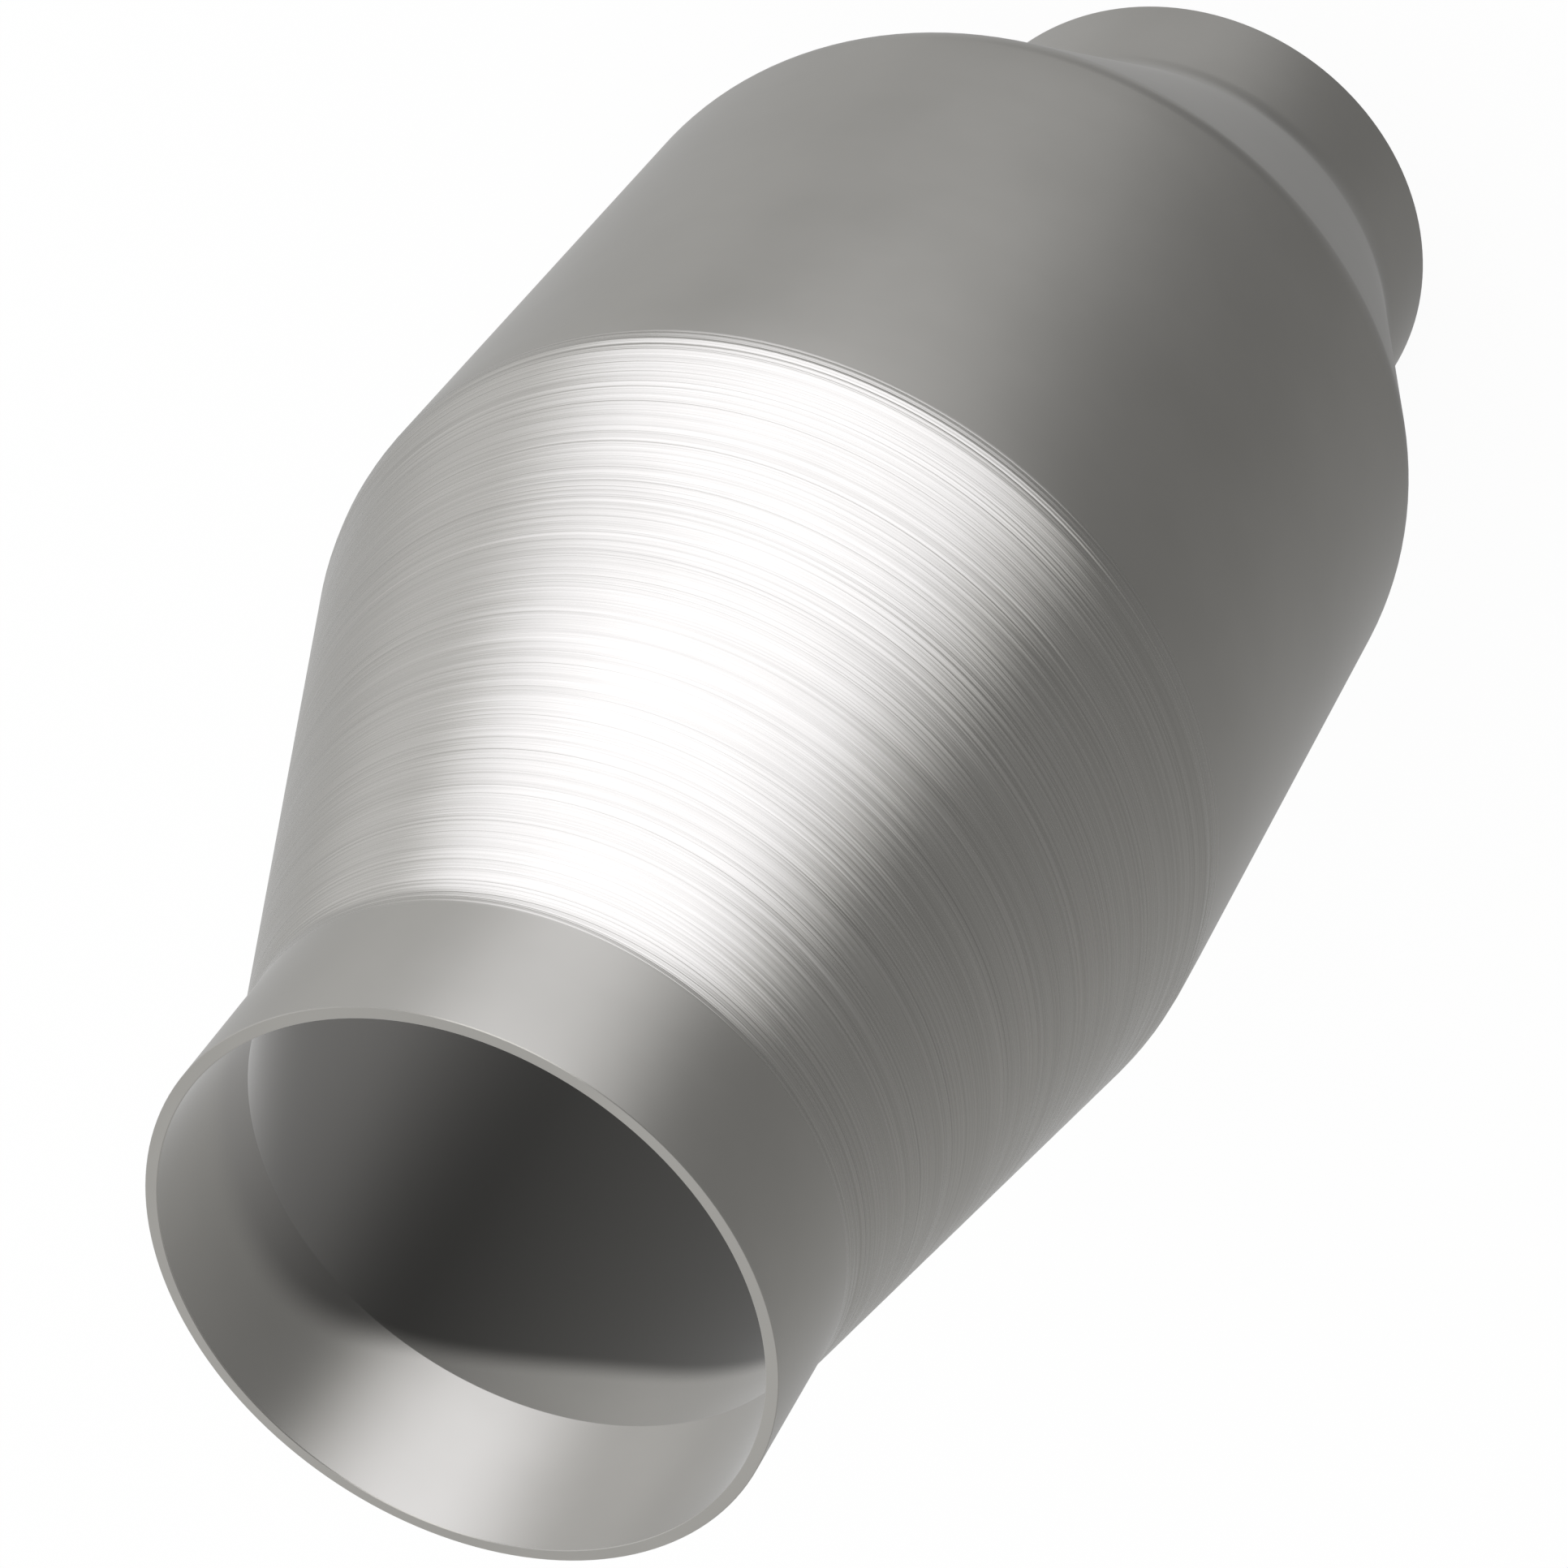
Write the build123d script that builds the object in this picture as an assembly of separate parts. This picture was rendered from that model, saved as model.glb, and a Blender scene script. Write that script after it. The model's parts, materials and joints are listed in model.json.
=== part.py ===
"""Round catalytic converter with a one-piece spun stainless shell.

Millimetres. The Z axis is the axis of the round body and Z = 0 is the rim of
the rear neck. The front neck points up. Both necks share one axis, which lies
beside the axis of the body, so the two cones are oblique.
"""
from build123d import *
import os

# Exhaust pipe that the necks slip over
PIPE_DIAMETER = 76.2
PIPE_SLIP_CLEARANCE = 0.25

# Shell, from the front lip down to the rear rim
SHELL_WALL = 1.6
BODY_DIAMETER = 127.0
FRONT_NECK_LENGTH = 23.0
FRONT_CONE_LENGTH = 82.5
REAR_CONE_LENGTH = 51.5
REAR_NECK_LENGTH = 21.5
NECK_OFFSET = 7.0
FRONT_SHOULDER_RADIUS = 28.0
REAR_SHOULDER_RADIUS = 12.0
NECK_BLEND_RADIUS = 16.0
CONE_BANDS = 3

# Ceramic honeycomb that carries the catalyst, set back from both ends of the round body
BRICK_LENGTH = 88.9
BRICK_SETBACK = 2.55
BRICK_SKIN = 1.2
BRICK_EDGE_CHAMFER = 0.8
CELL_PITCH = 4.5
CELL_WALL = 0.65
SMALLEST_CELL_SHARE = 0.3

# Fibre mat round the honeycomb, set back from both its ends, with a tongue in a slot at its seam
MAT_THICKNESS = 4.0
MAT_SETBACK = 6.45
MAT_SEAM_GAP = 0.6
MAT_TONGUE_WIDTH = 20.0
MAT_TONGUE_LENGTH = 26.0

# Knitted wire rings that shield both edges of the mat
SEAL_WIDTH = 5.0
SEAL_EDGE_CHAMFER = 0.8

# Gaps between pieces that the squeezed mat fills on the real object
RADIAL_CLEARANCE = 0.1
END_CLEARANCE = 0.2

# Values worked out from the above
NECK_BORE_RADIUS = (PIPE_DIAMETER + PIPE_SLIP_CLEARANCE) / 2
NECK_RADIUS = NECK_BORE_RADIUS + SHELL_WALL
BODY_RADIUS = BODY_DIAMETER / 2
BODY_BORE_RADIUS = BODY_RADIUS - SHELL_WALL
REAR_CONE_BOTTOM = REAR_NECK_LENGTH
BODY_LENGTH = BRICK_LENGTH + 2 * BRICK_SETBACK
BODY_BOTTOM = REAR_CONE_BOTTOM + REAR_CONE_LENGTH
BODY_TOP = BODY_BOTTOM + BODY_LENGTH
FRONT_CONE_TOP = BODY_TOP + FRONT_CONE_LENGTH
OVERALL_LENGTH = FRONT_CONE_TOP + FRONT_NECK_LENGTH
BODY_MIDDLE = (BODY_BOTTOM + BODY_TOP) / 2
MAT_OUTER_RADIUS = BODY_BORE_RADIUS - RADIAL_CLEARANCE
MAT_INNER_RADIUS = MAT_OUTER_RADIUS - MAT_THICKNESS
BRICK_RADIUS = MAT_INNER_RADIUS - RADIAL_CLEARANCE
CELL_FIELD_RADIUS = BRICK_RADIUS - BRICK_SKIN
MAT_LENGTH = BRICK_LENGTH - 2 * MAT_SETBACK


def disc(radius, x, z):
    """Return a flat round face across the Z axis."""
    return Pos(x, 0, z) * Circle(radius)


def neck(radius, bottom, top):
    """Return one straight neck on the shared axis of the necks."""
    return extrude(disc(radius, -NECK_OFFSET, bottom), amount=top - bottom)


def cone(neck_radius, neck_z, body_radius, body_z):
    """Return one oblique cone, in equal bands from the body to a neck."""
    rings = []
    for band in range(CONE_BANDS + 1):
        share = band / CONE_BANDS
        radius = body_radius + share * (neck_radius - body_radius)
        z = body_z + share * (neck_z - body_z)
        rings.append(disc(radius, -NECK_OFFSET * share, z))
    if neck_z < body_z:
        rings.reverse()
    return loft(rings, ruled=True)


def edges_at(form, z):
    """Return the round edges of a form that lie in the plane at height z."""
    return form.edges().filter_by(GeomType.LINE, reverse=True).filter_by_position(Axis.Z, z, z)


def spun_form(inset, overrun):
    """Return the outline of the shell as a full solid, with rounded shoulders.

    The inset is 0 for the outside and the wall for the hollow. The overrun
    lengthens both necks, so that the hollow opens at both rims.
    """
    neck_radius = NECK_RADIUS - inset
    body_radius = BODY_RADIUS - inset
    form = neck(neck_radius, -overrun, REAR_CONE_BOTTOM)
    form += cone(neck_radius, REAR_CONE_BOTTOM, body_radius, BODY_BOTTOM)
    form += extrude(disc(body_radius, 0, BODY_BOTTOM), amount=BODY_LENGTH)
    form += cone(neck_radius, FRONT_CONE_TOP, body_radius, BODY_TOP)
    form += neck(neck_radius, FRONT_CONE_TOP, OVERALL_LENGTH + overrun)
    form = fillet(edges_at(form, BODY_TOP), FRONT_SHOULDER_RADIUS - inset)
    form = fillet(edges_at(form, BODY_BOTTOM), REAR_SHOULDER_RADIUS - inset)
    return form


def spun_shell():
    """Return the shell: one tube, spun down to a cone and a neck at each end.

    The necks blend into the cones outside and meet them in a crisp edge inside.
    """
    outside = spun_form(0, 0)
    outside = fillet(edges_at(outside, FRONT_CONE_TOP), NECK_BLEND_RADIUS)
    outside = fillet(edges_at(outside, REAR_CONE_BOTTOM), NECK_BLEND_RADIUS)
    return outside - spun_form(SHELL_WALL, SHELL_WALL)


def honeycomb_cells():
    """Return the square cells as flat faces, cut off where the skin begins."""
    opening = CELL_PITCH - CELL_WALL
    count = int(CELL_FIELD_RADIUS / CELL_PITCH) + 1
    field = disc(CELL_FIELD_RADIUS, 0, 0)
    whole_reach = CELL_FIELD_RADIUS - opening / 2**0.5
    cells = []
    for column in range(-count, count + 1):
        for row in range(-count, count + 1):
            x = column * CELL_PITCH
            y = row * CELL_PITCH
            reach = (x**2 + y**2) ** 0.5
            square = Pos(x, y) * Rectangle(opening, opening)
            if reach < whole_reach:
                cells += square.faces()
            elif reach < CELL_FIELD_RADIUS + opening:
                clipped = square & field
                smallest = SMALLEST_CELL_SHARE * opening**2
                cells += [face for face in clipped.faces() if face.area > smallest]
    return cells


def catalyst_brick():
    """Return the honeycomb brick, with every channel open from end to end."""
    bottom = BODY_MIDDLE - BRICK_LENGTH / 2
    blank = extrude(disc(BRICK_RADIUS, 0, bottom), amount=BRICK_LENGTH)
    blank = chamfer(blank.edges().filter_by(GeomType.CIRCLE), BRICK_EDGE_CHAMFER)
    channels = [
        extrude(Pos(0, 0, bottom) * cell, amount=BRICK_LENGTH, dir=(0, 0, 1))
        for cell in honeycomb_cells()
    ]
    return blank - channels


def support_mat():
    """Return the mat: a sleeve with an open seam, stepped round its tongue."""
    bottom = BODY_MIDDLE - MAT_LENGTH / 2
    sleeve = extrude(disc(MAT_OUTER_RADIUS, 0, bottom), amount=MAT_LENGTH)
    sleeve -= extrude(disc(MAT_INNER_RADIUS, 0, bottom), amount=MAT_LENGTH)
    # The seam is cut through the wall on the +X side only
    depth = MAT_THICKNESS * 3
    reach = MAT_OUTER_RADIUS - MAT_THICKNESS / 2
    end_length = (MAT_LENGTH - MAT_TONGUE_LENGTH) / 2
    for side in (-1, 1):
        z = BODY_MIDDLE + side * (MAT_TONGUE_LENGTH + end_length) / 2
        sleeve -= Pos(reach, 0, z) * Box(depth, MAT_SEAM_GAP, end_length + MAT_SEAM_GAP)
        z = BODY_MIDDLE + side * MAT_TONGUE_LENGTH / 2
        width = MAT_TONGUE_WIDTH + MAT_SEAM_GAP
        sleeve -= Pos(reach, MAT_TONGUE_WIDTH / 2, z) * Box(depth, width, MAT_SEAM_GAP)
    sleeve -= Pos(reach, MAT_TONGUE_WIDTH, BODY_MIDDLE) * Box(depth, MAT_SEAM_GAP, MAT_TONGUE_LENGTH)
    return sleeve


def end_seal(side):
    """Return one wire ring against the mat's edge: side 1 is the front, -1 the rear."""
    middle = BODY_MIDDLE + side * (MAT_LENGTH / 2 + END_CLEARANCE + SEAL_WIDTH / 2)
    radius = (MAT_OUTER_RADIUS + MAT_INNER_RADIUS) / 2
    section = Plane.XZ * Rectangle(MAT_THICKNESS, SEAL_WIDTH)
    section = chamfer(section.vertices(), SEAL_EDGE_CHAMFER)
    return revolve(Pos(radius, 0, middle) * section, Axis.Z)


def main():
    """Build every piece and write one file for each."""
    pieces = {
        "spun_shell": spun_shell(),
        "catalyst_brick": catalyst_brick(),
        "support_mat": support_mat(),
        "front_end_seal": end_seal(1),
        "rear_end_seal": end_seal(-1),
    }
    os.makedirs("parts", exist_ok=True)
    for name, piece in pieces.items():
        export_step(piece, f"parts/{name}.step")


if __name__ == "__main__":
    main()
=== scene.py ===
"""Looks of a round catalytic converter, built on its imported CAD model.

Metres, in the frame of the CAD model: Z runs along the axis of the body, and
Z = 0 is the rim of the rear neck, which stands on the floor.
"""
import json
import math
import random

import bpy
import numpy as np
from mathutils import Matrix, Vector, noise
from mathutils.geometry import delaunay_2d_cdt


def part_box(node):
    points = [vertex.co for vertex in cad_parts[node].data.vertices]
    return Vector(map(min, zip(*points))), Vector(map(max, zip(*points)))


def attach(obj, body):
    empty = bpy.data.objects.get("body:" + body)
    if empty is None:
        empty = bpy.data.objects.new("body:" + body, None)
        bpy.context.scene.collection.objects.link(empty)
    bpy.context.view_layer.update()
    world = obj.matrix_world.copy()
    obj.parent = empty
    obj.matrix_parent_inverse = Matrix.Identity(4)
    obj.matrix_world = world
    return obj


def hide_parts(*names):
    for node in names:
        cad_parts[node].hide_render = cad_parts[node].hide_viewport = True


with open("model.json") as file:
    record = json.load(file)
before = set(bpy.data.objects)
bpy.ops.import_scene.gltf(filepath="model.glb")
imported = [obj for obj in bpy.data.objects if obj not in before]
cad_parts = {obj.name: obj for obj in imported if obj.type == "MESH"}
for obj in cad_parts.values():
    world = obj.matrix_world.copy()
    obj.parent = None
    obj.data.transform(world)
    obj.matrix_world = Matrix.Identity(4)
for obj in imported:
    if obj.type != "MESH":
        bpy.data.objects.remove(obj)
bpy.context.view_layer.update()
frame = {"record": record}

MM = 0.001
RECORD = frame["record"]

# Camera, as found from the outline of the object in the photograph
CAMERA_AIM = Vector((-4.70, 0, 165.72)) * MM
CAMERA_DISTANCE = 605.0 * MM
CAMERA_ELEVATION = math.radians(49.553)
CAMERA_ROLL = math.radians(-145.264)
CAMERA_LENS = 105.206
CAMERA_SENSOR = 36.0
CAMERA_CLIP_START = 0.01

# Shell sizes that the boxes of the CAD model don't give
SHELL_WALL = 1.6 * MM
FRONT_NECK_LENGTH = 23.0 * MM
FRONT_CONE_LENGTH = 82.5 * MM
REAR_CONE_LENGTH = 51.5 * MM
REAR_NECK_LENGTH = 21.5 * MM
FRONT_SHOULDER_RADIUS = 18.0 * MM
REAR_SHOULDER_RADIUS = 12.0 * MM
NECK_BLEND_RADIUS = 16.0 * MM
HOLLOW_EDGE_RADIUS = 0.5 * MM
LIP_SOFTENING = 0.1 * MM

# Shell sizes read from the CAD model and its record
SHELL_LOW, SHELL_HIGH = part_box("spun_shell")
BODY_RADIUS = (SHELL_HIGH[1] - SHELL_LOW[1]) / 2
OVERALL_LENGTH = SHELL_HIGH[2]
FRONT_SOCKET = next(mount for mount in RECORD["mounts"] if mount["name"] == "front_pipe_socket")
NECK_RADIUS = FRONT_SOCKET["dims"]["r_mm"] * MM + SHELL_WALL
NECK_X = FRONT_SOCKET["pos_m"][0]
FRONT_CONE_TOP = OVERALL_LENGTH - FRONT_NECK_LENGTH
BODY_TOP = FRONT_CONE_TOP - FRONT_CONE_LENGTH
BODY_BOTTOM = REAR_NECK_LENGTH + REAR_CONE_LENGTH

# Mesh of the round pieces: segments round the axis, and steps along the shell's profile
SEGMENTS = 160
PLAIN_STEP = 6 * MM
CORNER_STEPS = 10
LIP_SHARP_ANGLE = math.radians(30)

# Spinning marks: rings of tool marks on the front cone. Two in three are grooves and one is a
# low ridge. Reaches and tapers are angles round the axis, and slopes are mm along Z a radian.
MARK_SEED = 5
MARK_STEP = 0.2 * MM
MARK_FADE = 0.2 * MM
MARK_BAND_BOTTOM = 164.3 * MM
MARK_BAND_TOP = 251.2 * MM
MARK_COUNT = 620
MARK_DEPTHS = (0.002 * MM, 0.008 * MM)
MARK_SENSES = (1, 1, -0.4)
MARK_WIDTHS = (0.18 * MM, 0.4 * MM)
MARK_REACHES = (0.6, 3.5)
MARK_TAPER = 0.4
MARK_SLOPES = (-0.25, 0.25)

# Deeper marks near both ends of the band
END_MARK_SHARE = 0.14
END_MARK_GAIN = 3.2
END_MARK_REACH = 4 * MM

# Honeycomb of 300 cells to the square inch. The corner reach is a little over a cell's corner,
# in half widths of the cell, and the tolerance is in mm.
CELL_PITCH = 1.47 * MM
CELL_WALL = 0.2 * MM
BRICK_SKIN = 0.9 * MM
BRICK_EDGE = 0.8 * MM
SMALLEST_CELL_SHARE = 0.25
CELL_CORNER_REACH = 1.5
CELL_TOLERANCE = 1e-5

# Fibre mat, open at a stepped seam on the +X side
MAT_THICKNESS = 4.0 * MM
MAT_SEAM_GAP = 0.6 * MM
MAT_TONGUE_WIDTH = 20.0 * MM
MAT_TONGUE_LENGTH = 26.0 * MM
MAT_CELL = 1.0 * MM
MAT_UNEVENNESS = 0.3 * MM
MAT_LUMP_SIZE = 2.2 * MM
MAT_LUMP_LEVEL = 0.4
MAT_LUMP_SWING = 0.6
MAT_LUMP_FRACTAL = (0.6, 2.1, 4)
MAT_SHARP_ANGLE = math.radians(50)

# Knitted wire rings: rows of looped wire round a packed core
WIRE_RADIUS = 0.13 * MM
WIRE_ROWS = 11
WIRE_STITCHES = 120
STITCH_POINTS = 10
STITCH_LEAN = 0.2
STITCH_HEIGHT = 0.95 * MM
WIRE_SIDES = 4
CORE_STEPS = 24
RING_SQUARENESS = 0.5

# Colours and marks of the steel
STEEL_DARK = (0.414, 0.405, 0.380, 1)
STEEL_LIGHT = (0.454, 0.444, 0.418, 1)
# Painted shade deep inside the hollow, and the paler painted shade it turns to on the +X side
PAINTED_SHADE_GREY = (0.098, 0.096, 0.090, 1)
PAINTED_SHADE_PALE = (0.400, 0.391, 0.374, 1)
LINE_DARK = (0.405, 0.396, 0.372, 1)
LINE_LIGHT = (0.469, 0.459, 0.433, 1)
EDGE_TINT = (0.85, 0.85, 0.85, 1)
CREVICE_GREY = (0.16, 0.155, 0.148, 1)
CREVICE_SPREAD = (0.64, 0.72)
CREVICE_SHARE = 0.38
LINE_SPREAD = (0.36, 0.64)
LINE_LEAN = 0.04
FINE_SHARE = 0.6
ROUGH_SPREAD = (1.05, 1.55)
MARK_BUMP = 0.08 * MM
SPUN_GRAIN = 0.35
QUARTER_TURN = 0.25

# Scales of the noises, far finer along Z where they draw lines round the axis
CLOUD_SCALE = (28, 28, 28)
FINE_SCALE = (4, 4, 3200)
BROAD_SCALE = (5, 5, 1500)
SCRATCH_SCALE = (4, 4, 2000)
STREAK_SCALE = (6, 6, 2600)
NOISE_SPREAD = (0.3, 0.7)

# Least and most roughness of each steel
SATIN_ROUGHNESS = (0.276, 0.284)
SPUN_ROUGHNESS = (0.17, 0.36)
HOLLOW_ROUGHNESS = (0.226, 0.234)
WIRE_ROUGHNESS = (0.25, 0.38)
PACKED_ROUGHNESS = (0.5, 0.65)

# Washcoat of the honeycomb
COAT_DARK = (0.42, 0.32, 0.215, 1)
COAT_LIGHT = (0.60, 0.49, 0.36, 1)
COAT_CLOUD_SCALE = (60, 60, 60)
COAT_GRAIN_SCALE = (2200, 2200, 900)
COAT_BUMP = 0.05 * MM
COAT_ROUGHNESS = 0.85

# Wool of the mat
WOOL_DARK = (0.62, 0.57, 0.47, 1)
WOOL_LIGHT = (0.86, 0.83, 0.74, 1)
FLECK_BROWN = (0.42, 0.33, 0.18, 1)
STRAND_SCALE = (350, 350, 1500)
FLECK_SCALE = 420.0
FLECK_RADII = (0.05, 0.16)
FLECK_SHARE = 0.8
WOOL_BUMP = 0.2 * MM
WOOL_ROUGHNESS = 0.95
WOOL_SHEEN = 0.3

# Floor, most of which is plain white to the camera
WHITE = (1, 1, 1, 1)
FLOOR_HALF = 3.0
FLOOR_COLOUR = (0.82, 0.82, 0.815, 1)
FLOOR_WHITE_STRENGTH = 1.03
FLOOR_WHITE_SHARE = 0.90

# Studio that the metal mirrors: paler on one side, a broad glow low down on another with a
# haze beside it, and a shade underneath on a third
PALE_SIDE_AZIMUTH = math.radians(151)
SIDE_TONES = (0.30, 0.79)
WALL_SHARES = (0.82, 1.06)
WALL_LEVEL = -0.3
GLOW_AZIMUTH = math.radians(29.2)
GLOW_STRENGTH = 2.12
GLOW_HALF_WIDTHS = (math.radians(66.3), math.radians(7))
GLOW_FOOT = (math.radians(-64), math.radians(-27))
GLOW_NARROWING = 0.42
GLOW_HEAD = (math.radians(45), math.radians(10))
HAZE_AZIMUTH = math.radians(94)
HAZE_STRENGTH = 0.32
HAZE_HALF_WIDTHS = (math.radians(36), math.radians(0))
SHADE_AZIMUTH = math.radians(-165)
SHADE_STRENGTH = 0.2
SHADE_HALF_WIDTHS = (math.radians(80), math.radians(20))
SHADE_HEAD = (math.radians(-50), math.radians(-62))
GLOW_TINT = (0.972, 0.975, 1.032, 1)
GLOW_TINT_TONES = (0.7, 2.0)
ROOM_STRENGTH = 0.8

# Key lamp
LAMP_AZIMUTH = math.radians(33)
LAMP_ELEVATION = math.radians(50)
LAMP_DISTANCE = 1.6
LAMP_SIZE = 0.9
LAMP_RADIANCE = 1.2

# Depth from a mouth over which painted shade darkens the inside of the shell, and how far that
# depth shifts over a span of X, so that it is deepest on the -X side
DARK_FROM = 17 * MM
DARK_TO = 23.5 * MM
DARK_SPAN = (-34 * MM, 14 * MM)
DARK_SHIFTS = (16.6 * MM, -4.8 * MM)

# Span of X over which the painted shade in the hollow turns paler
PALE_FROM_X = -5 * MM
PALE_TO_X = 28 * MM


def compass(azimuth):
    """Return the level direction at an azimuth, from -Y towards +X."""
    return Vector((math.sin(azimuth), -math.cos(azimuth), 0))


# Node helpers

def new_material(name):
    """Return a new node material with its tree emptied."""
    material = bpy.data.materials.new(name)
    material.use_nodes = True
    material.node_tree.nodes.clear()
    return material


def add(tree, kind, settings=None, **inputs):
    """Add a node. Each input is a value, or an output socket to link from."""
    node = tree.nodes.new(kind)
    for name, value in (settings or {}).items():
        setattr(node, name, value)
    for name, value in inputs.items():
        key = int(name[1:]) if name[0] == "i" and name[1:].isdigit() else name.replace("_", " ")
        if isinstance(value, bpy.types.NodeSocket):
            tree.links.new(value, node.inputs[key])
        else:
            node.inputs[key].default_value = value
    return node


def math_node(tree, operation, first, second=0.0):
    """Return the output of one Math node."""
    return add(tree, "ShaderNodeMath", {"operation": operation}, i0=first, i1=second).outputs[0]


def vector_node(tree, operation, first, **inputs):
    """Return one Vector Math node."""
    return add(tree, "ShaderNodeVectorMath", {"operation": operation}, i0=first, **inputs)


def stretched_noise(tree, place, scale, detail=3.0, roughness=0.55):
    """Return a noise value over coordinates scaled by the vector scale."""
    mapping = add(tree, "ShaderNodeMapping", Vector=place, Scale=scale)
    texture = add(
        tree, "ShaderNodeTexNoise", Vector=mapping.outputs[0], Scale=1.0, Detail=detail,
        Roughness=roughness,
    )
    return texture.outputs[0]


def remap(tree, value, low, high, to_low, to_high, kind="LINEAR"):
    """Return a value mapped from one range to another, clamped."""
    node = add(
        tree, "ShaderNodeMapRange", {"interpolation_type": kind}, Value=value, From_Min=low,
        From_Max=high, To_Min=to_low, To_Max=to_high,
    )
    return node.outputs[0]


def mix_colours(tree, share, first, second):
    """Return two colours mixed by a share."""
    node = add(tree, "ShaderNodeMix", {"data_type": "RGBA"}, i0=share, i6=first, i7=second)
    return node.outputs[2]


# Materials

def lined_colour(tree, place, fine):
    """Return the colour of steel with fine lines, and darker scratches among them."""
    lines = mix_colours(tree, remap(tree, fine, *LINE_SPREAD, 0, 1), LINE_DARK, LINE_LIGHT)
    scratch = stretched_noise(tree, place, SCRATCH_SCALE, detail=2.0)
    share = remap(tree, scratch, *CREVICE_SPREAD, 0, CREVICE_SHARE)
    return mix_colours(tree, share, lines, CREVICE_GREY)


def painted_shade_colour(tree, place, colour):
    """Return a colour that turns to painted shade, dark grey, away from both mouths, paler on the
    +X side.
    """
    x, _, z = add(tree, "ShaderNodeSeparateXYZ", Vector=place).outputs
    middle = OVERALL_LENGTH / 2
    away = math_node(tree, "ABSOLUTE", math_node(tree, "SUBTRACT", z, middle))
    shift = remap(tree, x, *DARK_SPAN, *DARK_SHIFTS, "SMOOTHSTEP")
    shifted = math_node(tree, "ADD", away, shift)
    unshaded = remap(tree, shifted, middle - DARK_TO, middle - DARK_FROM, 0, 1, "SMOOTHSTEP")
    side = remap(tree, x, PALE_FROM_X, PALE_TO_X, 0, 1, "SMOOTHSTEP")
    return mix_colours(tree, unshaded, mix_colours(tree, side, PAINTED_SHADE_GREY, PAINTED_SHADE_PALE), colour)


def leaning_normal(tree, place, normal, tangent):
    """Return a normal that leans a little in each line, which frays a highlight's edges."""
    streak = stretched_noise(tree, place, STREAK_SCALE, detail=2.0, roughness=0.6)
    lean = remap(tree, streak, *NOISE_SPREAD, -LINE_LEAN, LINE_LEAN)
    aside = vector_node(tree, "SCALE", tangent, Scale=lean).outputs[0]
    leaning = vector_node(tree, "ADD", normal, i1=aside).outputs[0]
    return vector_node(tree, "NORMALIZE", leaning).outputs[0]


def steel(name, roughness, mark_strength=0.0, hollow=False, grain=0.0):
    """Return stainless steel with fine marks that run round the Z axis.

    A hollow one turns to painted shade, dark grey, away from both mouths. The grain
    spreads its highlights across the marks.
    """
    material = new_material(name)
    tree = material.node_tree
    place = add(tree, "ShaderNodeTexCoord").outputs["Object"]
    cloud = stretched_noise(tree, place, CLOUD_SCALE, detail=4.0)
    fine = stretched_noise(tree, place, FINE_SCALE, detail=2.0, roughness=0.6)
    broad = stretched_noise(tree, place, BROAD_SCALE, detail=2.0)
    if grain:
        colour = lined_colour(tree, place, fine)
    else:
        share = remap(tree, cloud, *NOISE_SPREAD, 0, 1)
        colour = mix_colours(tree, share, STEEL_DARK, STEEL_LIGHT)
    # The hollow's colour carries painted shade away from both mouths
    if hollow:
        colour = painted_shade_colour(tree, place, colour)
    lines = math_node(tree, "ADD", math_node(tree, "MULTIPLY", fine, FINE_SHARE), broad)
    rough = remap(tree, math_node(tree, "ADD", lines, cloud), *ROUGH_SPREAD, *roughness)
    bump = add(tree, "ShaderNodeBump", Strength=mark_strength, Distance=MARK_BUMP, Height=lines)
    surface = add(
        tree, "ShaderNodeBsdfPrincipled", Base_Color=colour, Metallic=1.0, Roughness=rough,
        Specular_Tint=EDGE_TINT, Normal=bump.outputs[0], Anisotropic=grain,
        Anisotropic_Rotation=QUARTER_TURN,
    )
    if grain:
        radial = add(tree, "ShaderNodeTangent", {"direction_type": "RADIAL", "axis": "Z"})
        tangent = radial.outputs[0]
        tree.links.new(tangent, surface.inputs["Tangent"])
        normal = leaning_normal(tree, place, bump.outputs[0], tangent)
        tree.links.new(normal, surface.inputs["Normal"])
    add(tree, "ShaderNodeOutputMaterial", Surface=surface.outputs[0])
    return material


def washcoated_ceramic():
    """Return the dull tan of a coated ceramic honeycomb."""
    material = new_material("washcoated_ceramic")
    tree = material.node_tree
    place = add(tree, "ShaderNodeTexCoord").outputs["Object"]
    cloud = stretched_noise(tree, place, COAT_CLOUD_SCALE, detail=5.0)
    grain = stretched_noise(tree, place, COAT_GRAIN_SCALE, detail=4.0)
    colour = mix_colours(tree, remap(tree, cloud, *NOISE_SPREAD, 0, 1), COAT_DARK, COAT_LIGHT)
    bump = add(tree, "ShaderNodeBump", Strength=0.5, Distance=COAT_BUMP, Height=grain)
    surface = add(
        tree, "ShaderNodeBsdfPrincipled", Base_Color=colour, Roughness=COAT_ROUGHNESS,
        Normal=bump.outputs[0],
    )
    add(tree, "ShaderNodeOutputMaterial", Surface=surface.outputs[0])
    return material


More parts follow.
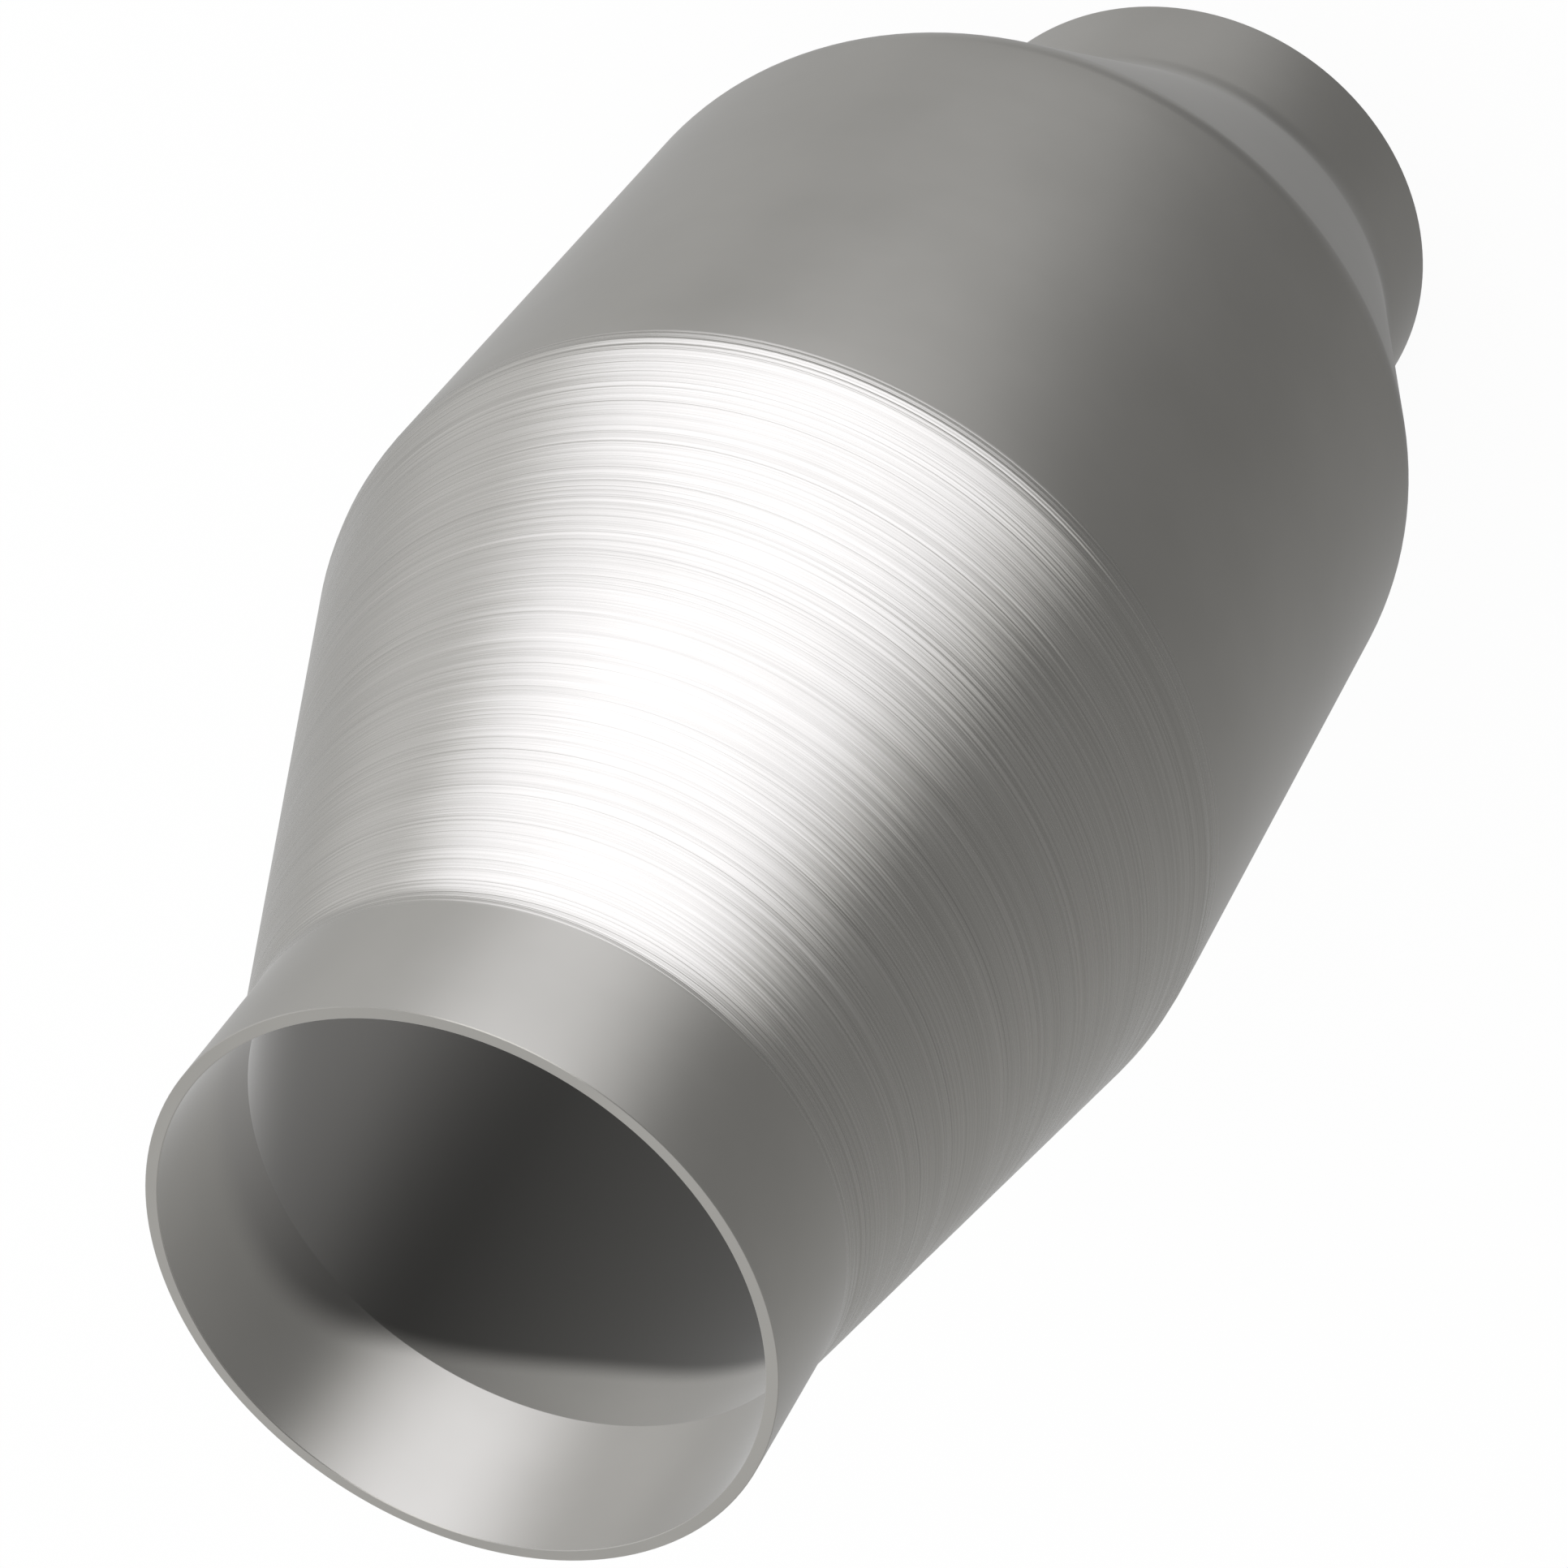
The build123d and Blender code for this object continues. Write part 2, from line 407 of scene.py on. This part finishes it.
def mineral_fibre():
    """Return the pale, flecked wool of the support mat."""
    material = new_material("mineral_fibre")
    tree = material.node_tree
    place = add(tree, "ShaderNodeTexCoord").outputs["Object"]
    strands = stretched_noise(tree, place, STRAND_SCALE, detail=6.0, roughness=0.7)
    wool = mix_colours(tree, remap(tree, strands, *NOISE_SPREAD, 0, 1), WOOL_DARK, WOOL_LIGHT)
    distance = add(tree, "ShaderNodeTexVoronoi", Vector=place, Scale=FLECK_SCALE).outputs[0]
    fleck = remap(tree, distance, *FLECK_RADII, FLECK_SHARE, 0)
    bump = add(tree, "ShaderNodeBump", Strength=0.8, Distance=WOOL_BUMP, Height=strands)
    surface = add(
        tree, "ShaderNodeBsdfPrincipled", Base_Color=mix_colours(tree, fleck, wool, FLECK_BROWN),
        Roughness=WOOL_ROUGHNESS, Sheen_Weight=WOOL_SHEEN, Normal=bump.outputs[0],
    )
    add(tree, "ShaderNodeOutputMaterial", Surface=surface.outputs[0])
    return material


# Shell

def rounded_profile(corners):
    """Return points (z, radius) along straight runs with rounded corners.

    A corner is (z, radius, rounding radius). The first and last aren't rounded.
    """
    points = [Vector(corners[0][:2])]
    for before, corner, after in zip(corners, corners[1:], corners[2:]):
        here = Vector(corner[:2])
        back = (Vector(before[:2]) - here).normalized()
        ahead = (Vector(after[:2]) - here).normalized()
        turn = math.pi - back.angle(ahead)
        reach = corner[2] * math.tan(turn / 2)
        start = here + back * reach
        end = here + ahead * reach
        middle = here + (back + ahead).normalized() * (corner[2] / math.cos(turn / 2))
        for step in range(CORNER_STEPS + 1):
            spoke = (start - middle).lerp(end - middle, step / CORNER_STEPS).normalized()
            points.append(middle + spoke * corner[2])
    points.append(Vector(corners[-1][:2]))
    return points


def shell_profile(inset):
    """Return the profile of the outside (inset 0) or of the hollow (inset of one wall)."""
    neck = NECK_RADIUS - inset
    body = BODY_RADIUS - inset
    blend = HOLLOW_EDGE_RADIUS if inset else NECK_BLEND_RADIUS
    return rounded_profile([
        (0, neck, 0),
        (REAR_NECK_LENGTH, neck, blend),
        (BODY_BOTTOM, body, REAR_SHOULDER_RADIUS - inset),
        (BODY_TOP, body, FRONT_SHOULDER_RADIUS - inset),
        (FRONT_CONE_TOP, neck, blend),
        (OVERALL_LENGTH, neck, 0),
    ])


def stations(profile, step_at):
    """Return the profile's points with more between them, by the step wanted at each z."""
    result = [profile[0]]
    for start, end in zip(profile, profile[1:]):
        step = step_at((start[0] + end[0]) / 2)
        pieces = max(1, round((end - start).length / step))
        result += [start.lerp(end, piece / pieces) for piece in range(1, pieces + 1)]
    return result


def outside_step(z):
    """Return the ring spacing wanted on the outside."""
    return MARK_STEP if MARK_BAND_BOTTOM < z < MARK_BAND_TOP else PLAIN_STEP


def spinning_marks(heights):
    """Return how deep each vertex of each ring lies under the plain cone."""
    draw = random.Random(MARK_SEED)
    angles = np.linspace(0, 2 * np.pi, SEGMENTS, endpoint=False)
    depths = np.zeros((len(heights), SEGMENTS))
    end_marks = MARK_COUNT * END_MARK_SHARE
    for mark in range(MARK_COUNT):
        middle = draw.uniform(MARK_BAND_BOTTOM, MARK_BAND_TOP)
        if mark < end_marks:
            inward = END_MARK_REACH * draw.random()
            middle = draw.choice((MARK_BAND_BOTTOM + inward, MARK_BAND_TOP - inward))
        width = draw.uniform(*MARK_WIDTHS)
        depth = draw.uniform(*MARK_DEPTHS) * draw.choice(MARK_SENSES)
        if mark < end_marks:
            depth *= END_MARK_GAIN
        reach = draw.uniform(*MARK_REACHES)
        centre = draw.uniform(0, 2 * np.pi)
        slope = draw.uniform(*MARK_SLOPES) * MM
        away = np.angle(np.exp(1j * (angles - centre)))
        fade = np.clip((reach - np.abs(away)) / MARK_TAPER, 0, 1)
        line = middle + slope * away
        offset = (heights[:, None] - line[None, :]) / width
        depths += depth * fade * np.exp(-offset**2)
    inside = np.clip((heights - MARK_BAND_BOTTOM) / MARK_FADE, 0, 1)
    inside *= np.clip((MARK_BAND_TOP - heights) / MARK_FADE, 0, 1)
    return depths * inside[:, None]


def ring_vertices(points, depths):
    """Return the vertices of rings round the axis, which shifts from body to neck."""
    angles = np.linspace(0, 2 * np.pi, SEGMENTS, endpoint=False)
    rows = []
    for (z, radius, inset), depth in zip(points, depths):
        share = (BODY_RADIUS - inset - radius) / (BODY_RADIUS - NECK_RADIUS)
        centre = NECK_X * min(max(share, 0), 1)
        lengths = radius - depth
        x = centre + lengths * np.cos(angles)
        y = lengths * np.sin(angles)
        rows.append(np.stack([x, y, np.full(SEGMENTS, z)], axis=1))
    return np.concatenate(rows)


def mesh_object(name, vertices, faces, materials, slots=None, smooth=True):
    """Return a new object from vertices and faces. The slots give each face's material."""
    mesh = bpy.data.meshes.new(name)
    mesh.from_pydata([tuple(vertex) for vertex in vertices], [], faces)
    for material in materials:
        mesh.materials.append(material)
    if slots is not None:
        mesh.polygons.foreach_set("material_index", slots)
    mesh.polygons.foreach_set("use_smooth", [smooth] * len(mesh.polygons))
    mesh.update()
    piece = bpy.data.objects.new(name, mesh)
    bpy.context.collection.objects.link(piece)
    return piece


def dress(piece, node):
    """Let a piece stand for a CAD node. Steel mirrors the studio and not the pieces."""
    piece.visible_glossy = False
    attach(piece, "root")
    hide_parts(node)


def shell_rings():
    """Return the shell's rings (z, radius, inset) from the rear lip up and back down inside.

    Also returns where the outside ends and where the hollow begins in them.
    """
    outside = [(*point, 0) for point in stations(shell_profile(0), outside_step)]
    inside = stations(shell_profile(SHELL_WALL), lambda z: PLAIN_STEP)
    hollow = [(*point, SHELL_WALL) for point in reversed(inside)]
    # The lips are softened by a ring a hair inside each edge
    soft = LIP_SOFTENING
    bore = NECK_RADIUS - SHELL_WALL
    outside[0] = (soft, NECK_RADIUS, 0)
    outside[-1] = (OVERALL_LENGTH - soft, NECK_RADIUS, 0)
    hollow[0] = (OVERALL_LENGTH - soft, bore, SHELL_WALL)
    hollow[-1] = (soft, bore, SHELL_WALL)
    front_lip = [
        (OVERALL_LENGTH, NECK_RADIUS - soft, 0),
        (OVERALL_LENGTH, bore + soft, SHELL_WALL),
    ]
    rings = [(0, NECK_RADIUS - soft, 0)] + outside
    outside_end = len(rings)
    rings += front_lip + hollow + [(0, bore + soft, SHELL_WALL)]
    return rings, outside_end, outside_end + len(front_lip)


def spun_shell():
    """Build the shell: outside with spinning marks, hollow inside and both lips."""
    rings, outside_end, hollow_start = shell_rings()
    heights = np.array([ring[0] for ring in rings])
    depths = spinning_marks(heights)
    depths[outside_end:] = 0
    vertices = ring_vertices(rings, depths)
    faces = []
    slots = []
    for row in range(len(rings)):
        following = (row + 1) % len(rings)
        middle = (heights[row] + heights[following]) / 2
        slot = 0
        if following < outside_end and MARK_BAND_BOTTOM < middle < MARK_BAND_TOP:
            slot = 1
        elif row >= hollow_start and following >= hollow_start:
            slot = 2
        slots += [slot] * SEGMENTS
        for column in range(SEGMENTS):
            beside = (column + 1) % SEGMENTS
            faces.append((
                row * SEGMENTS + column,
                row * SEGMENTS + beside,
                following * SEGMENTS + beside,
                following * SEGMENTS + column,
            ))
    materials = [
        steel("satin_steel", SATIN_ROUGHNESS),
        steel("spun_steel", SPUN_ROUGHNESS, mark_strength=1.0, grain=SPUN_GRAIN),
        steel("hollow_steel", HOLLOW_ROUGHNESS, hollow=True),
    ]
    shell = mesh_object("shell_dressed", vertices, faces, materials, slots)
    # The lips keep their crisp edges
    shell.data.set_sharp_from_angle(angle=LIP_SHARP_ANGLE)
    dress(shell, "spun_shell")


# Honeycomb

def clipped_cell(x, y, half, field):
    """Return a square cell's corners, cut off where the skin begins."""
    left, right, bottom, top = x - half, x + half, y - half, y + half
    corners = [(left, bottom), (right, bottom), (right, top), (left, top)]
    reach = math.hypot(x, y)
    if reach + half * CELL_CORNER_REACH < field:
        return corners
    outward = (x / reach, y / reach)
    kept = []
    for (ax, ay), (bx, by) in zip(corners, corners[1:] + corners[:1]):
        a = ax * outward[0] + ay * outward[1] - field
        b = bx * outward[0] + by * outward[1] - field
        if a <= 0:
            kept.append((ax, ay))
        if (a < 0) != (b < 0):
            share = a / (a - b)
            kept.append((ax + (bx - ax) * share, ay + (by - ay) * share))
    return kept


def area(corners):
    """Return the area of a flat polygon."""
    pairs = zip(corners, corners[1:] + corners[:1])
    return abs(sum(ax * by - bx * ay for (ax, ay), (bx, by) in pairs)) / 2


def honeycomb_cells(field):
    """Return the open cells as lists of corners, in millimetres."""
    pitch = CELL_PITCH / MM
    opening = (CELL_PITCH - CELL_WALL) / MM
    count = int(field / pitch) + 1
    cells = {}
    for column in range(-count, count + 1):
        for row in range(-count, count + 1):
            x = column * pitch
            y = row * pitch
            if math.hypot(x, y) > field + opening:
                continue
            corners = clipped_cell(x, y, opening / 2, field)
            if len(corners) > 2 and area(corners) > SMALLEST_CELL_SHARE * opening**2:
                cells[column, row] = corners
    return cells


def inside_polygon(x, y, corners):
    """Return whether a point lies inside a convex polygon listed anticlockwise."""
    pairs = zip(corners, corners[1:] + corners[:1])
    return all((bx - ax) * (y - ay) - (by - ay) * (x - ax) > 0 for (ax, ay), (bx, by) in pairs)


def circle(radius):
    """Return the points of a circle, one for each segment."""
    angles = [2 * math.pi * k / SEGMENTS for k in range(SEGMENTS)]
    return [(radius * math.cos(angle), radius * math.sin(angle)) for angle in angles]


def end_face(rim, cells):
    """Return one end of the honeycomb, in millimetres: its points, loops and triangles.

    A loop is the index of its first point and its length. The rim is the first
    loop, the cells are the others, and the triangles fill what lies between.
    """
    points = []
    edges = []
    loops = []
    for corners in [rim, *cells.values()]:
        start = len(points)
        size = len(corners)
        loops.append((start, size))
        points += [Vector(corner) for corner in corners]
        edges += [(start + k, start + (k + 1) % size) for k in range(size)]
    flat, _, triangles, _, _, _ = delaunay_2d_cdt(points, edges, [], 0, CELL_TOLERANCE)
    pitch = CELL_PITCH / MM
    lattice = []
    for triangle in triangles:
        x = sum(flat[index][0] for index in triangle) / 3
        y = sum(flat[index][1] for index in triangle) / 3
        cell = cells.get((round(x / pitch), round(y / pitch)))
        if cell is None or not inside_polygon(x, y, cell):
            lattice.append(tuple(triangle))
    return flat, loops, lattice


def catalyst_brick():
    """Build the honeycomb, with every channel open from end to end."""
    low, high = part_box("catalyst_brick")
    radius = (high[0] - low[0]) / 2
    cells = honeycomb_cells(radius / MM - BRICK_SKIN / MM)
    flat, loops, lattice = end_face(circle((radius - BRICK_EDGE) / MM), cells)
    count = len(flat)
    vertices = [(x * MM, y * MM, z) for z in (low[2], high[2]) for x, y in flat]
    faces = [tuple(reversed(triangle)) for triangle in lattice]
    faces += [tuple(index + count for index in triangle) for triangle in lattice]
    for start, size in loops[1:]:
        for k in range(size):
            here = start + k
            beside = start + (k + 1) % size
            faces.append((beside, here, here + count, beside + count))
    # Chamfered edges and the skin
    ring_starts = [0]
    for z in (low[2] + BRICK_EDGE, high[2] - BRICK_EDGE):
        ring_starts.append(len(vertices))
        vertices += [(x, y, z) for x, y in circle(radius)]
    ring_starts.append(count)
    for lower, upper in zip(ring_starts, ring_starts[1:]):
        for k in range(SEGMENTS):
            beside = (k + 1) % SEGMENTS
            faces.append((lower + k, lower + beside, upper + beside, upper + k))
    brick = mesh_object("brick_dressed", vertices, faces, [washcoated_ceramic()], smooth=False)
    dress(brick, "catalyst_brick")


# Fibre mat

def spaced(start, end, step):
    """Return even values from start up to, but not with, the end."""
    count = max(1, round((end - start) / step))
    return [start + (end - start) * index / count for index in range(count)]


def mat_lump(x, y, z):
    """Return how far the mat's surface lies under its full size at a point."""
    rough = noise.fractal(Vector((x, y, z)) / MAT_LUMP_SIZE, *MAT_LUMP_FRACTAL)
    return MAT_UNEVENNESS * min(max(MAT_LUMP_LEVEL + MAT_LUMP_SWING * rough, 0), 1)


def mat_grid(bottom, top, mean):
    """Return the angles and heights of the mat's grid, and a test for the seam's cells.

    The grid has lines along both sides of every part of the seam.
    """
    gap = MAT_SEAM_GAP / 2
    half_gap = gap / mean
    turn = math.asin(MAT_TONGUE_WIDTH / mean)
    columns = [-half_gap] + spaced(half_gap, turn - half_gap, MAT_CELL / mean)
    turned = len(columns)
    columns += [turn - half_gap]
    columns += spaced(turn + half_gap, 2 * math.pi - half_gap, MAT_CELL / mean)
    middle = (bottom + top) / 2
    tongue_low = middle - MAT_TONGUE_LENGTH / 2
    tongue_high = middle + MAT_TONGUE_LENGTH / 2
    rows = spaced(bottom, tongue_low - gap, MAT_CELL)
    low_gap = len(rows)
    rows += [tongue_low - gap] + spaced(tongue_low + gap, tongue_high - gap, MAT_CELL)
    high_gap = len(rows)
    rows += [tongue_high - gap] + spaced(tongue_high + gap, top, MAT_CELL) + [top]

    def is_open(column, row):
        """Return whether a cell of the grid belongs to the seam, or lies past an end."""
        if row < 0 or row >= len(rows) - 1:
            return True
        if row in (low_gap, high_gap):
            return column <= turned
        if low_gap < row < high_gap:
            return column == turned
        return column == 0

    return columns, rows, is_open


def mat_vertices(columns, rows, outer, inner):
    """Return the vertices of the mat's outer and inner sides, each sunk by its lump."""
    ends = {rows[0]: 1, rows[-1]: -1}
    vertices = []
    for side, radius in ((-1, outer), (1, inner)):
        for z in rows:
            for angle in columns:
                x = radius * math.cos(angle)
                y = radius * math.sin(angle)
                lump = mat_lump(x, y, z)
                share = (radius + side * lump) / radius
                vertices.append((x * share, y * share, z + ends.get(z, 0) * lump))
    return vertices


def support_mat():
    """Build the mat: an uneven sleeve of fibre, open along its stepped seam."""
    low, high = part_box("support_mat")
    outer = (high[1] - low[1]) / 2
    inner = outer - MAT_THICKNESS
    columns, rows, is_open = mat_grid(low[2], high[2], (outer + inner) / 2)
    vertices = mat_vertices(columns, rows, outer, inner)
    across = len(columns)
    layer = across * len(rows)
    faces = []
    for row in range(len(rows) - 1):
        for column in range(across):
            if is_open(column, row):
                continue
            beside = (column + 1) % across
            a = row * across + column
            b = row * across + beside
            c = b + across
            d = a + across
            faces.append((a, b, c, d))
            faces.append((layer + d, layer + c, layer + b, layer + a))
            # Cut edges, wherever the next cell is open
            for neighbour, (start, end) in (
                ((column, row - 1), (b, a)),
                ((beside, row), (c, b)),
                ((column, row + 1), (d, c)),
                (((column - 1) % across, row), (a, d)),
            ):
                if is_open(*neighbour):
                    faces.append((start, end, layer + end, layer + start))
    mat = mesh_object("mat_dressed", vertices, faces, [mineral_fibre()])
    mat.data.set_sharp_from_angle(angle=MAT_SHARP_ANGLE)
    dress(mat, "support_mat")


# Knitted wire rings

def ring_point(turn, around, mean, half_width, half_height, middle):
    """Return points on a ring of squarish section, and their outward directions."""
    side = np.sign(np.cos(around)) * np.abs(np.cos(around)) ** RING_SQUARENESS
    rise = np.sign(np.sin(around)) * np.abs(np.sin(around)) ** RING_SQUARENESS
    radius = mean + half_width * side
    points = np.stack(
        [radius * np.cos(turn), radius * np.sin(turn), middle + half_height * rise], axis=-1
    )
    outward = np.stack(
        [np.cos(around) * np.cos(turn), np.cos(around) * np.sin(turn), np.sin(around)], axis=-1
    )
    return points, outward


def wire_row(row, size, first):
    """Return the vertices and faces of one closed row of looped wire."""
    mean, half_width, half_height, middle = size
    count = WIRE_STITCHES * STITCH_POINTS
    phase = 2 * np.pi * np.arange(count) / STITCH_POINTS
    stitch = 2 * np.pi / WIRE_STITCHES
    turn = stitch * (phase / (2 * np.pi) + STITCH_LEAN * np.sin(2 * phase))
    section = 2 * (half_width + half_height) / np.pi
    around = 2 * np.pi * row / WIRE_ROWS + STITCH_HEIGHT / section * np.cos(phase)
    points, outward = ring_point(turn, around, mean, half_width, half_height, middle)
    points += outward * (WIRE_RADIUS * np.cos(2 * phase))[:, None]
    ahead = np.roll(points, -1, axis=0) - np.roll(points, 1, axis=0)
    ahead /= np.linalg.norm(ahead, axis=1)[:, None]
    sideways = np.cross(ahead, outward)
    sideways /= np.linalg.norm(sideways, axis=1)[:, None]
    upward = np.cross(sideways, ahead)
    spokes = 2 * np.pi * np.arange(WIRE_SIDES) / WIRE_SIDES
    tube = points[:, None, :] + WIRE_RADIUS * (
        sideways[:, None, :] * np.cos(spokes)[None, :, None]
        + upward[:, None, :] * np.sin(spokes)[None, :, None]
    )
    faces = grid_faces(count, WIRE_SIDES, first)
    return tube.reshape(-1, 3), faces


def grid_faces(rows, columns, first):
    """Return the faces of a grid that closes on itself both ways."""
    faces = []
    for row in range(rows):
        following = (row + 1) % rows
        for column in range(columns):
            beside = (column + 1) % columns
            faces.append((
                first + row * columns + column,
                first + following * columns + column,
                first + following * columns + beside,
                first + row * columns + beside,
            ))
    return faces


def knitted_ring(node, materials):
    """Build one end ring: looped wire round a core of packed wire."""
    low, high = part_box(node)
    outer = (high[1] - low[1]) / 2
    # The wire's line lies two radii under the ring's outline, one for its loops and one for
    # the wire itself, and the core's surface lies one more under that line
    room = 2 * WIRE_RADIUS
    half_width = MAT_THICKNESS / 2 - room
    half_height = (high[2] - low[2]) / 2 - room
    middle = (low[2] + high[2]) / 2
    mean = outer - MAT_THICKNESS / 2
    turn = np.repeat(np.linspace(0, 2 * np.pi, SEGMENTS, endpoint=False), CORE_STEPS)
    around = np.tile(np.linspace(0, 2 * np.pi, CORE_STEPS, endpoint=False), SEGMENTS)
    core_width = half_width - WIRE_RADIUS
    core_height = half_height - WIRE_RADIUS
    core, _ = ring_point(turn, around, mean, core_width, core_height, middle)
    parts = [core]
    faces = grid_faces(SEGMENTS, CORE_STEPS, 0)
    slots = [1] * len(faces)
    first = len(core)
    for row in range(WIRE_ROWS):
        tube, tube_faces = wire_row(row, (mean, half_width, half_height, middle), first)
        parts.append(tube)
        faces += tube_faces
        slots += [0] * len(tube_faces)
        first += len(tube)
    ring = mesh_object(node + "_dressed", np.concatenate(parts), faces, materials, slots)
    dress(ring, node)


# Studio

def toward(tree, unit, azimuth):
    """Return the cosine between a level unit direction and an azimuth."""
    return vector_node(tree, "DOT_PRODUCT", unit, i1=compass(azimuth)).outputs["Value"]


def near(tree, unit, azimuth, half_widths):
    """Return 1 near an azimuth, falling to 0 from the inner to the outer half width."""
    outer, inner = (math.cos(half_width) for half_width in half_widths)
    return remap(tree, toward(tree, unit, azimuth), outer, inner, 0, 1)


def studio_tone(tree, direction):
    """Return the brightness of the studio in a direction."""
    level = vector_node(tree, "MULTIPLY", direction, i1=(1, 1, 0)).outputs[0]
    unit = vector_node(tree, "NORMALIZE", level).outputs[0]
    height = add(tree, "ShaderNodeSeparateXYZ", Vector=direction).outputs[2]
    side = remap(tree, toward(tree, unit, PALE_SIDE_AZIMUTH), -1, 1, *SIDE_TONES)
    below = remap(tree, height, -1, WALL_LEVEL, *WALL_SHARES)
    tone = math_node(tree, "MULTIPLY", side, below)
    foot = remap(tree, height, *map(math.sin, GLOW_FOOT), 0, 1)
    head = remap(tree, height, *map(math.sin, GLOW_HEAD[::-1]), 1, 0, "SMOOTHSTEP")
    band = math_node(tree, "MULTIPLY", foot, head)
    outside_band = math_node(tree, "SUBTRACT", 1.0, band)
    for azimuth, half_widths, strength in (
        (GLOW_AZIMUTH, GLOW_HALF_WIDTHS, GLOW_STRENGTH),
        (HAZE_AZIMUTH, HAZE_HALF_WIDTHS, HAZE_STRENGTH),
    ):
        close = near(tree, unit, azimuth, half_widths)
        share = math_node(tree, "MULTIPLY", close, band)
        # Towards its foot and head the glow also narrows
        aside = math_node(tree, "SUBTRACT", 1.0, close)
        lost = math_node(tree, "MULTIPLY", aside, outside_band)
        lost = math_node(tree, "MULTIPLY", lost, GLOW_NARROWING)
        share = math_node(tree, "SUBTRACT", share, lost)
        lit = remap(tree, share, 0, 1, 0, strength, "SMOOTHSTEP")
        tone = math_node(tree, "ADD", tone, lit)
    close = near(tree, unit, SHADE_AZIMUTH, SHADE_HALF_WIDTHS)
    low = remap(tree, height, *map(math.sin, SHADE_HEAD[::-1]), SHADE_STRENGTH, 0)
    return math_node(tree, "SUBTRACT", tone, math_node(tree, "MULTIPLY", close, low))


def add_world():
    """Add the world: white where the camera looks past the floor, and a studio all round."""
    world = bpy.data.worlds.new("studio")
    bpy.context.scene.world = world
    world.use_nodes = True
    world.cycles.sampling_method = "NONE"
    tree = world.node_tree
    tree.nodes.clear()
    direction = add(tree, "ShaderNodeTexCoord").outputs["Generated"]
    tone = studio_tone(tree, direction)
    paths = add(tree, "ShaderNodeLightPath").outputs
    lit = add(tree, "ShaderNodeMix", i0=paths["Is Glossy Ray"], i2=ROOM_STRENGTH, i3=tone)
    strength = add(tree, "ShaderNodeMix", i0=paths["Is Camera Ray"], i2=lit.outputs[0], i3=1.0)
    glowing = remap(tree, tone, *GLOW_TINT_TONES, 0, 1)
    tinted = math_node(tree, "MULTIPLY", glowing, paths["Is Glossy Ray"])
    colour = mix_colours(tree, tinted, WHITE, GLOW_TINT)
    background = add(tree, "ShaderNodeBackground", Color=colour, Strength=strength.outputs[0])
    add(tree, "ShaderNodeOutputWorld", Surface=background.outputs[0])


def floor_material():
    """Return the pale floor, white to the camera but for a faint shadow."""
    material = new_material("pale_floor")
    material.cycles.emission_sampling = "NONE"
    tree = material.node_tree
    camera_ray = add(tree, "ShaderNodeLightPath").outputs["Is Camera Ray"]
    matte = add(tree, "ShaderNodeBsdfDiffuse", Color=FLOOR_COLOUR).outputs[0]
    white = add(tree, "ShaderNodeEmission", Color=WHITE, Strength=FLOOR_WHITE_STRENGTH).outputs[0]
    seen = add(tree, "ShaderNodeMixShader", Fac=FLOOR_WHITE_SHARE, i1=matte, i2=white).outputs[0]
    surface = add(tree, "ShaderNodeMixShader", Fac=camera_ray, i1=matte, i2=seen)
    add(tree, "ShaderNodeOutputMaterial", Surface=surface.outputs[0])
    return material


def add_floor():
    """Add the floor that the rear neck stands on."""
    half = FLOOR_HALF
    corners = [(-half, -half, 0), (half, -half, 0), (half, half, 0), (-half, half, 0)]
    floor = mesh_object("floor", corners, [(0, 1, 2, 3)], [floor_material()])
    floor.visible_glossy = False


def add_lamp():
    """Add the soft key lamp."""
    data = bpy.data.lights.new("lamp", "AREA")
    data.shape = "SQUARE"
    data.size = LAMP_SIZE
    data.energy = LAMP_RADIANCE * math.pi * LAMP_SIZE**2
    lamp = bpy.data.objects.new("lamp", data)
    direction = compass(LAMP_AZIMUTH) * math.cos(LAMP_ELEVATION)
    direction.z = math.sin(LAMP_ELEVATION)
    lamp.location = direction * LAMP_DISTANCE
    lamp.rotation_euler = direction.to_track_quat("Z", "Y").to_euler()
    lamp.visible_camera = False
    bpy.context.collection.objects.link(lamp)


def add_camera():
    """Add the camera at the photograph's place, turn and lens."""
    data = bpy.data.cameras.new("camera")
    data.lens = CAMERA_LENS
    data.sensor_width = CAMERA_SENSOR
    data.clip_start = CAMERA_CLIP_START
    camera = bpy.data.objects.new("camera", data)
    back = Vector((0, -math.cos(CAMERA_ELEVATION), math.sin(CAMERA_ELEVATION)))
    place = Matrix.Translation(CAMERA_AIM + back * CAMERA_DISTANCE)
    tilt = Matrix.Rotation(math.pi / 2 - CAMERA_ELEVATION, 4, "X")
    roll = Matrix.Rotation(CAMERA_ROLL, 4, "Z")
    camera.matrix_world = place @ tilt @ roll
    bpy.context.collection.objects.link(camera)
    bpy.context.scene.camera = camera


bpy.context.scene.view_settings.view_transform = "Standard"
add_camera()
add_world()
add_floor()
add_lamp()
spun_shell()
catalyst_brick()
support_mat()
wire_materials = [
    steel("wire_steel", WIRE_ROUGHNESS, mark_strength=0.2),
    steel("packed_wire", PACKED_ROUGHNESS, mark_strength=1.0),
]
for seal in ("front_end_seal", "rear_end_seal"):
    knitted_ring(seal, wire_materials)
